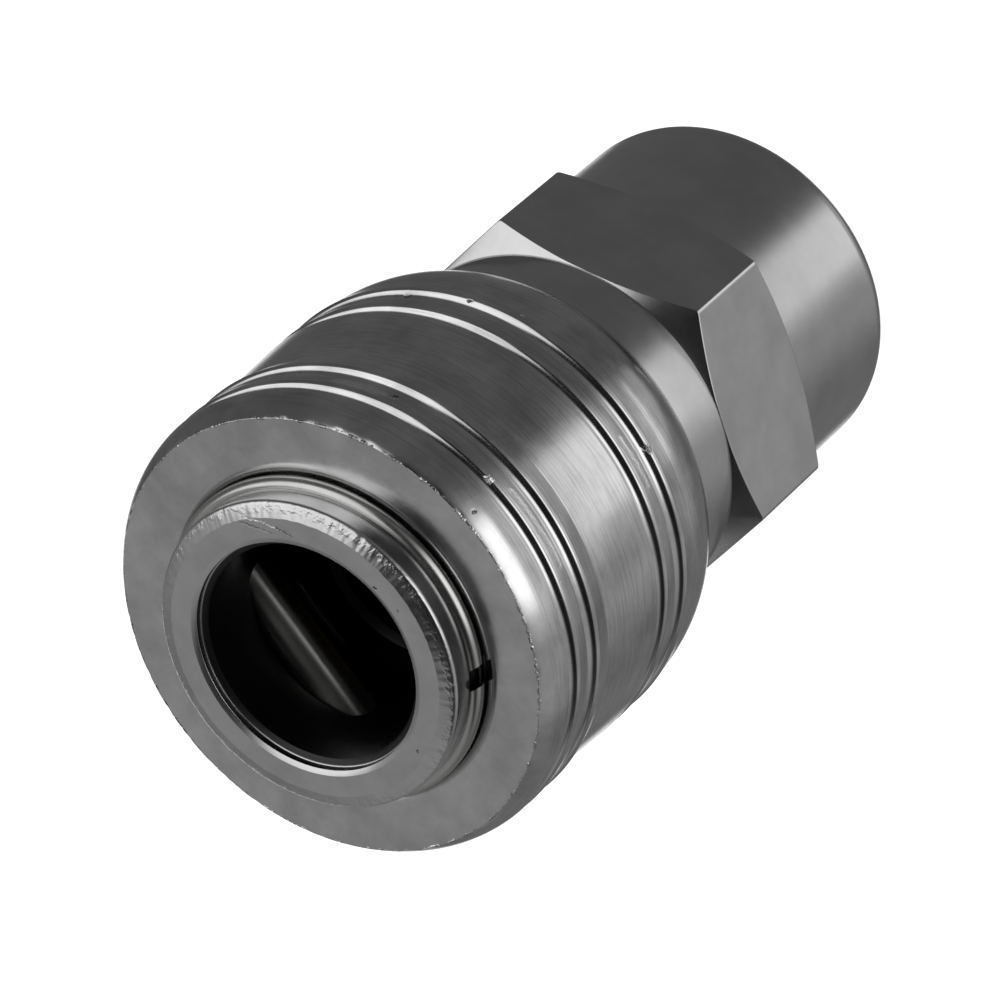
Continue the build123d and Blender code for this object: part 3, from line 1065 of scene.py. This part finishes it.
@dataclass
class Adapter:
    """Hexagon with neck and collar, threaded inside."""

    flats: float = 10.5
    corner_round: float = 0.3
    frame: float = 0.15
    hex_low: float = 10.1
    hex_high: float = 18.4
    chamfer: float = 30.0
    collar: float = 10.0
    rim_rise: float = 0.38
    rim_run: float = 1.1
    neck: float = 10.45
    neck_top: float = 26.85
    thread_minor: float = 7.475
    thread_major: float = 8.33
    thread_pitch: float = 1.337
    thread_mouth: float = 8.45
    thread_depth: float = 12.2
    thread_run_out: float = 1.4
    steps_per_pitch: int = 12
    flow_bore: float = 6.3
    gasket_seat: float = 14.0
    bore: float = 8.75

    def hex_radius(self, angle: float) -> float:
        """Distance from the axis to the hexagon's side at an angle, corners rounded."""
        local = abs((angle + math.pi / 6) % (math.pi / 3) - math.pi / 6)
        flat_end = self.flats * math.tan(math.pi / 6) - self.corner_round * math.tan(math.pi / 6)
        if math.tan(local) * self.flats <= flat_end:
            return self.flats / math.cos(local)
        centre = (self.flats - self.corner_round) / math.cos(math.pi / 6)
        off = math.pi / 6 - local
        across = centre * math.sin(off)
        return centre * math.cos(off) + math.sqrt(max(self.corner_round**2 - across**2, 0))

    def angles(self) -> list[float]:
        """Angles once round, close together near the hexagon's corners."""
        found = []
        for side in range(6):
            start = math.radians(side * 60 - 30)
            for i in range(46):
                t = i / 46
                eased = t - 0.145 * math.sin(2 * math.pi * t)
                found.append(start + math.radians(60) * eased)
        return found

    def thread_radius(self, level: float, angle: float) -> float:
        """Radius of the threaded hole at a level and angle."""
        phase = (level / self.thread_pitch - angle / (2 * math.pi)) % 1
        tooth = abs(2 * phase - 1)
        cut_in = min(max((tooth - 0.15) / 0.7, 0), 1)
        cut_in = cut_in * cut_in * (3 - 2 * cut_in) * 0.35 + cut_in * 0.65
        fade = min(max((self.thread_depth - level) / self.thread_run_out, 0), 1)
        radius = self.thread_minor + (self.thread_major - self.thread_minor) * cut_in * fade
        return max(radius, self.thread_mouth - level)

    def profile_at(self, angle: float) -> list[Point]:
        """The closed profile at one angle, always with as many points."""
        side = self.hex_radius(angle)
        front = self.hex_high - (side - self.flats) * math.tan(math.radians(self.chamfer))
        rear = self.hex_low + (side - self.collar) * math.tan(math.radians(self.chamfer))
        rim = (self.rim_run**2 + self.rim_rise**2) / (2 * self.rim_rise)
        rim_angle = math.degrees(math.asin(self.rim_run / rim))
        corners = [
            Corner(self.neck, self.neck_top, 0.12),
            Corner(self.neck, self.hex_high, 0.15),
            Corner(self.flats, self.hex_high),
            Corner(side, front, 0.09),
            Corner(side, front - self.frame),
            Corner(side, rear + self.frame),
            Corner(side, rear, 0.09),
            Corner(self.collar, self.hex_low, 0.1),
            *arc((self.collar - rim, self.rim_run), rim, 0, -rim_angle, 8),
            Corner(self.thread_mouth, 0),
        ]
        points = rounded(corners, 4)
        count = round(self.thread_depth / self.thread_pitch * self.steps_per_pitch)
        for i in range(1, count + 1):
            level = self.thread_depth * i / count
            points.append((self.thread_radius(level, angle), level))
        points += [
            (self.flow_bore, self.thread_depth),
            (self.flow_bore, self.gasket_seat),
            (self.bore, self.gasket_seat),
            (self.bore, self.neck_top - 0.3),
            (self.bore + 0.3, self.neck_top),
        ]
        return points

    def build(self, nickel: bpy.types.Material) -> list[bpy.types.Object]:
        """Builds the adapter.

        Args:
            nickel: the plated finish.

        Returns:
            The adapter's piece.
        """
        piece = dress(spin("adapter_hexagon", self.profile_at, self.angles(), sharp=24.0), nickel)
        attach(piece, "coupling_body")
        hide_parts("adapter")
        return [piece]


@dataclass
class Springs:
    """The two compression springs, each wound between its two seats."""

    sleeve_base: float = 26.85
    sleeve_top: float = 35.34
    sleeve_stroke: float = 3.0
    valve_base: float = 16.2
    valve_top: float = 23.7
    valve_stroke: float = 3.5

    def build(self, wire: bpy.types.Material) -> list[bpy.types.Object]:
        """Builds both springs.

        Args:
            wire: the drawn wire's finish.

        Returns:
            The springs.
        """
        jobs = (
            ("sleeve_spring", 9.65, 0.55, self.sleeve_base, self.sleeve_top, 3.5, "sleeve_slide", self.sleeve_stroke),
            ("valve_spring", 2.9, 0.35, self.valve_base, self.valve_top, 4.5, "valve_slide", self.valve_stroke),
        )
        made = []
        for node, radius, section, base, top, turns, joint, stroke in jobs:
            spring = WirePath(f"{node}_wound", radius, section, wire).coil(base, top, turns)
            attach(spring, "coupling_body")
            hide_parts(node)
            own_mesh(spring)
            made.append(spring)
        return made


@dataclass
class InnerPieces:
    """Valve, seals and rings inside, whose solids are right and only need their finishes."""

    finishes: dict[str, str] = field(
        default_factory=lambda: {
            "thrust_ring": "steel",
            "packing": "rubber",
            "seat_ring": "brass",
            "valve": "brass",
            "valve_ring": "rubber",
            "valve_guide": "brass",
            "gasket": "rubber",
        }
    )

    def build(self, nodes: dict[str, bpy.types.Object], materials: dict[str, bpy.types.Material]) -> list[bpy.types.Object]:
        """Dresses the solids that stay as they are.

        Args:
            nodes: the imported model's objects by node name.
            materials: the finishes' materials by short name.

        Returns:
            The dressed objects.
        """
        made = []
        for node, finish in self.finishes.items():
            obj = nodes[node]
            if not obj.material_slots:
                obj.data.materials.append(materials[finish])
            for held in obj.material_slots:
                held.material = materials[finish]
            made.append(obj)
        return made


# ---- studio


@dataclass(frozen=True)
class Glow:
    """One soft light of the studio, as a patch of the coupling's surroundings, in degrees."""

    azimuth: float
    elevation: float
    half_width: float
    half_height: float
    soft: float
    strength: float

    def amount(self, tree: bpy.types.NodeTree, direction: bpy.types.NodeSocket) -> bpy.types.NodeSocket:
        """Returns how much of this light comes from a direction.

        Args:
            tree: the surroundings' node tree.
            direction: the direction as a unit vector.

        Returns:
            The light's strength there.
        """
        turned = add_node(
            tree,
            "ShaderNodeVectorRotate",
            {"Vector": direction, "Angle": math.radians(-self.azimuth)},
            rotation_type="Z_AXIS",
        )
        x, y, z = add_node(tree, "ShaderNodeSeparateXYZ", {0: turned.outputs[0]}).outputs
        across = add_node(tree, "ShaderNodeMath", {0: y, 1: x}, operation="ARCTAN2").outputs[0]
        height = add_node(tree, "ShaderNodeMath", {0: z}, operation="ARCSINE").outputs[0]
        lifted = add_node(
            tree, "ShaderNodeMath", {0: height, 1: math.radians(self.elevation)}, operation="SUBTRACT"
        ).outputs[0]
        total = None
        for offset, half in ((across, self.half_width), (lifted, self.half_height)):
            distance = add_node(tree, "ShaderNodeMath", {0: offset}, operation="ABSOLUTE").outputs[0]
            fade = add_node(
                tree,
                "ShaderNodeMapRange",
                {
                    "Value": distance,
                    "From Min": math.radians(half - self.soft / 2),
                    "From Max": math.radians(half + self.soft / 2),
                    "To Min": 1.0,
                    "To Max": 0.0,
                },
                interpolation_type="SMOOTHSTEP",
            ).outputs[0]
            factor = self.strength if total is None else total
            total = add_node(tree, "ShaderNodeMath", {0: fade, 1: factor}, operation="MULTIPLY").outputs[0]
        return total


@dataclass
class Studio:
    """Pale floor, soft light all round and the camera at the photograph's angle."""

    dark: float = 0.02
    paper: float = 0.9
    glows: tuple[Glow, ...] = (
        Glow(0, -40, 200, 66, 20, 0.12),
        Glow(-117, -18, 26, 44, 20, 0.50),
        Glow(-135, -20, 45, 50, 36, 0.24),
        Glow(-113, -50, 20, 5, 8, 0.80),
        Glow(-112, -74, 26, 8, 8, 0.35),
        Glow(-114, 13, 20, 18, 12, 1.30),
        Glow(-2, 51, 44, 26, 10, 1.60),
        Glow(95, 46, 58, 22, 16, 0.37),
        Glow(90, 8, 50, 16, 14, 0.12),
        Glow(90, -46, 16, 32, 16, 1.60),
        Glow(165, -20, 50, 50, 40, 0.10),
    )

    def place_floor(self) -> bpy.types.Object:
        """A wide pale disc under the coupling."""
        bm = bmesh.new()
        bmesh.ops.create_circle(bm, cap_ends=True, radius=6.0, segments=96)
        mesh = bpy.data.meshes.new("floor")
        bm.to_mesh(mesh)
        bm.free()
        floor = bpy.data.objects.new("floor", mesh)
        bpy.context.scene.collection.objects.link(floor)
        mat = bpy.data.materials.new("Floor_paper_white")
        mat.use_nodes = True
        tree = mat.node_tree
        tree.nodes.clear()
        shader = add_node(
            tree,
            "ShaderNodeBsdfPrincipled",
            {
                "Base Color": linear("#F4F4F4"),
                "Roughness": 0.9,
                "Specular IOR Level": 0.0,
                "Emission Color": linear("#FFFFFF"),
                "Emission Strength": 0.93,
            },
        )
        add_node(tree, "ShaderNodeOutputMaterial", {"Surface": shader.outputs[0]})
        dress(floor, mat)
        floor.visible_glossy = False
        floor.visible_diffuse = False
        return floor

    def place_lights(self) -> None:
        """Dim grey surroundings with the soft lights in them, and pale paper behind the coupling."""
        world = bpy.data.worlds.new("studio")
        bpy.context.scene.world = world
        world.use_nodes = True
        tree = world.node_tree
        tree.nodes.clear()
        direction = add_node(tree, "ShaderNodeTexCoord").outputs["Generated"]
        total: float | bpy.types.NodeSocket = self.dark
        for glow in self.glows:
            total = add_node(
                tree, "ShaderNodeMath", {0: glow.amount(tree, direction), 1: total}, operation="ADD"
            ).outputs[0]
        light = add_node(tree, "ShaderNodeBackground", {"Strength": total})
        paper = add_node(tree, "ShaderNodeBackground", {"Strength": self.paper})
        seen = add_node(tree, "ShaderNodeLightPath").outputs["Is Camera Ray"]
        mixed = add_node(tree, "ShaderNodeMixShader", {0: seen, 1: light.outputs[0], 2: paper.outputs[0]})
        add_node(tree, "ShaderNodeOutputWorld", {"Surface": mixed.outputs[0]})

    def place_camera(self) -> None:
        """Camera at the photograph's angle, fitted to the circles of nose, sleeve and neck."""
        camera = bpy.data.cameras.new("camera")
        camera.sensor_width = 36.0
        camera.lens = 245.49
        camera.clip_start = 0.01
        camera.clip_end = 50.0
        obj = bpy.data.objects.new("camera", camera)
        right = Vector((-0.661402, -0.555562, -0.503883))
        up = Vector((0.750030, -0.488498, -0.445898))
        back = right.cross(up)
        turn = Matrix((right, up, back)).transposed().to_4x4()
        obj.matrix_world = Matrix.Translation((0.0, -0.239698, 0.288804)) @ turn
        bpy.context.scene.collection.objects.link(obj)
        bpy.context.scene.camera = obj

    def build(self) -> None:
        """Sets up floor, lights and camera, and how light turns into tones."""
        self.place_floor()
        self.place_lights()
        self.place_camera()
        scene = bpy.context.scene
        scene.view_settings.view_transform = "Standard"
        scene.view_settings.look = "None"


def main() -> None:
    """Builds the coupling's looks piece by piece and reports each."""
    logging.basicConfig(level=logging.INFO, format="%(name)s: %(message)s")
    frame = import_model()
    nickel, nose_nickel, hex_nickel = NICKEL.material(), NICKEL_NOSE.material(), NICKEL_HEX.material()
    steel, wire, rubber, brass = PIN_STEEL.material(), WIRE.material(), RUBBER.material(), BRASS.material()
    made = [
        *Sleeve().build(nickel),
        *NoseBody().build(nose_nickel, wire),
        *LockingPins().build(steel),
        *Adapter().build(hex_nickel),
        *Springs().build(wire),
        *InnerPieces().build(frame["nodes"], {"steel": steel, "rubber": rubber, "brass": brass}),
    ]
    for piece in made:
        log.info("%s: %d faces", piece.name, len(piece.data.polygons))
    Studio().build()


if __name__ == "__main__":
    main()
